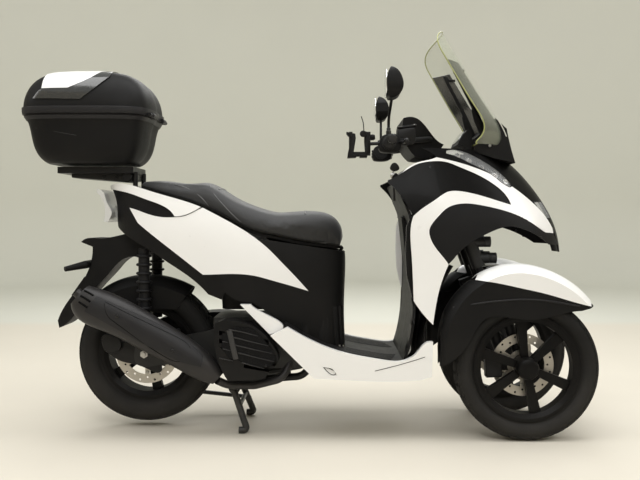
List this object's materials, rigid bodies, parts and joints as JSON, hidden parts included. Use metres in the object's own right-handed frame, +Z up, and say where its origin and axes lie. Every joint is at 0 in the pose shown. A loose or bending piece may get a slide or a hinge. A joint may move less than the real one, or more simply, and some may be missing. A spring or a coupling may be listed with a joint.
{
  "type": "leaning three-wheel scooter with top box",
  "caption": "Leaning three-wheel scooter on its centre stand, with a long clear screen, stepped seat, hard top box, louvred side cover and turning front wheels.",
  "frame": {"origin": "on the ground, under the middle of the whole length and of the width", "axes": "+X forward, +Y to the rider's left, +Z up"},
  "size_m": [2.0559, 0.742, 1.4524],
  "materials": {
    "white_paint": "gloss",
    "black_plastic": "fine moulded grain",
    "gloss_black": "gloss",
    "grey_plastic": "satin moulded",
    "frame_black": "satin",
    "screen_clear": "clear, faint warm tint",
    "lamp_clear": "clear lens",
    "seat_cover": "grained vinyl",
    "tyre_rubber": "worn black",
    "grip_rubber": "matt",
    "rim_black": "gloss black",
    "disc_steel": "ground",
    "cast_alloy": "cast, satin",
    "dark_alloy": "satin dark grey",
    "muffler_black": "heat-proof matt black",
    "stand_steel": "matt black, scuffed",
    "mirror_glass": "bright"
  },
  "bodies": {
    "chassis": {"frame": "frame_black", "tilt_linkage": "cast_alloy", "front_cowl": "white_paint", "cowl_infill": "gloss_black", "arch_panels": "grey_plastic", "nose_cover": "gloss_black", "front_lamps": "lamp_clear", "leg_shield": "black_plastic", "arch_liner": "black_plastic", "screen_base": "black_plastic", "windscreen": "screen_clear", "screen_stays": "frame_black", "instrument_panel": "black_plastic", "floorboard": "black_plastic", "side_skirts": "white_paint", "side_covers": "white_paint", "tunnel_cover": "black_plastic", "grab_rail": "white_paint", "tail_cover": "black_plastic", "tail_lamp": "lamp_clear", "rear_fender": "black_plastic", "storage_bin": "black_plastic", "engine": "cast_alloy", "transmission_case": "dark_alloy", "radiator_cover": "black_plastic", "exhaust": "muffler_black", "muffler_guard": "black_plastic", "rear_shocks": "dark_alloy", "rear_hugger": "black_plastic", "rear_caliper": "cast_alloy", "rack": "frame_black", "box_tub": "black_plastic"},
    "box_lid": {"box_lid": "black_plastic", "lid_cover": "white_paint", "lid_lens": "lamp_clear"},
    "seat": {"seat": "seat_cover", "seat_base": "black_plastic"},
    "handlebar": {"handlebar": "frame_black", "bar_cover": "black_plastic", "mirrors": "black_plastic"},
    "tie_rod": {"tie_rod": "cast_alloy"},
    "fork_left": {"fork_left": "dark_alloy", "fender_left": "black_plastic", "fender_cap_left": "white_paint"},
    "fork_right": {"fork_right": "dark_alloy", "fender_right": "black_plastic", "fender_cap_right": "white_paint"},
    "wheel_left": {"front_tyre_left": "tyre_rubber", "front_rim_left": "rim_black", "front_disc_left": "disc_steel"},
    "wheel_right": {"front_tyre_right": "tyre_rubber", "front_rim_right": "rim_black", "front_disc_right": "disc_steel"},
    "rear_wheel": {"rear_tyre": "tyre_rubber", "rear_rim": "rim_black", "rear_disc": "disc_steel"},
    "centre_stand": {"centre_stand": "stand_steel"},
    "side_stand": {"side_stand": "stand_steel"}
  },
  "joints": [
    {"name": "steering", "type": "hinge", "parent": "chassis", "child": "handlebar", "pos_m": [0.51843, 0, 0.9], "axis": [-0.342, 0, 0.9397], "range_deg": [-35, 35]},
    {"name": "fork_left_turn", "type": "hinge", "parent": "chassis", "child": "fork_left", "pos_m": [0.62762, 0.118, 0.6], "axis": [-0.342, 0, 0.9397], "range_deg": [-35, 35]},
    {"name": "fork_right_turn", "type": "hinge", "parent": "chassis", "child": "fork_right", "pos_m": [0.62762, -0.118, 0.6], "axis": [-0.342, 0, 0.9397], "range_deg": [-35, 35]},
    {"name": "tie_rod_swing", "type": "hinge", "parent": "fork_left", "child": "tie_rod", "pos_m": [0.7245, 0.118, 0.55602], "axis": [-0.342, 0, 0.9397], "range_deg": [-35, 35]},
    {"name": "wheel_left_spin", "type": "hinge", "parent": "fork_left", "child": "wheel_left", "pos_m": [0.778, 0.1925, 0.25], "axis": [0, 1, 0], "continuous": true},
    {"name": "wheel_right_spin", "type": "hinge", "parent": "fork_right", "child": "wheel_right", "pos_m": [0.778, -0.1925, 0.25], "axis": [0, 1, 0], "continuous": true},
    {"name": "rear_wheel_spin", "type": "hinge", "parent": "chassis", "child": "rear_wheel", "pos_m": [-0.572, 0, 0.277], "axis": [0, 1, 0], "continuous": true},
    {"name": "centre_stand_swing", "type": "hinge", "parent": "chassis", "child": "centre_stand", "pos_m": [-0.24935, 0, 0.14976], "axis": [0, 1, 0], "range_deg": [0, 100]},
    {"name": "side_stand_swing", "type": "hinge", "parent": "chassis", "child": "side_stand", "pos_m": [-0.0725, 0.142, 0.1599], "axis": [0, 1, 0], "range_deg": [-100, 0]},
    {"name": "seat_hinge", "type": "hinge", "parent": "chassis", "child": "seat", "pos_m": [0.1408, 0, 0.65676], "axis": [0, 1, 0], "range_deg": [0, 50]},
    {"name": "lid_hinge", "type": "hinge", "parent": "chassis", "child": "box_lid", "pos_m": [-0.54365, 0, 1.13724], "axis": [0, 1, 0], "range_deg": [0, 80]}
  ],
  "couplings": [
    {"joint": "fork_left_turn", "follows": "steering", "ratio": 1},
    {"joint": "fork_right_turn", "follows": "steering", "ratio": 1},
    {"joint": "tie_rod_swing", "follows": "steering", "ratio": -1}
  ]
}
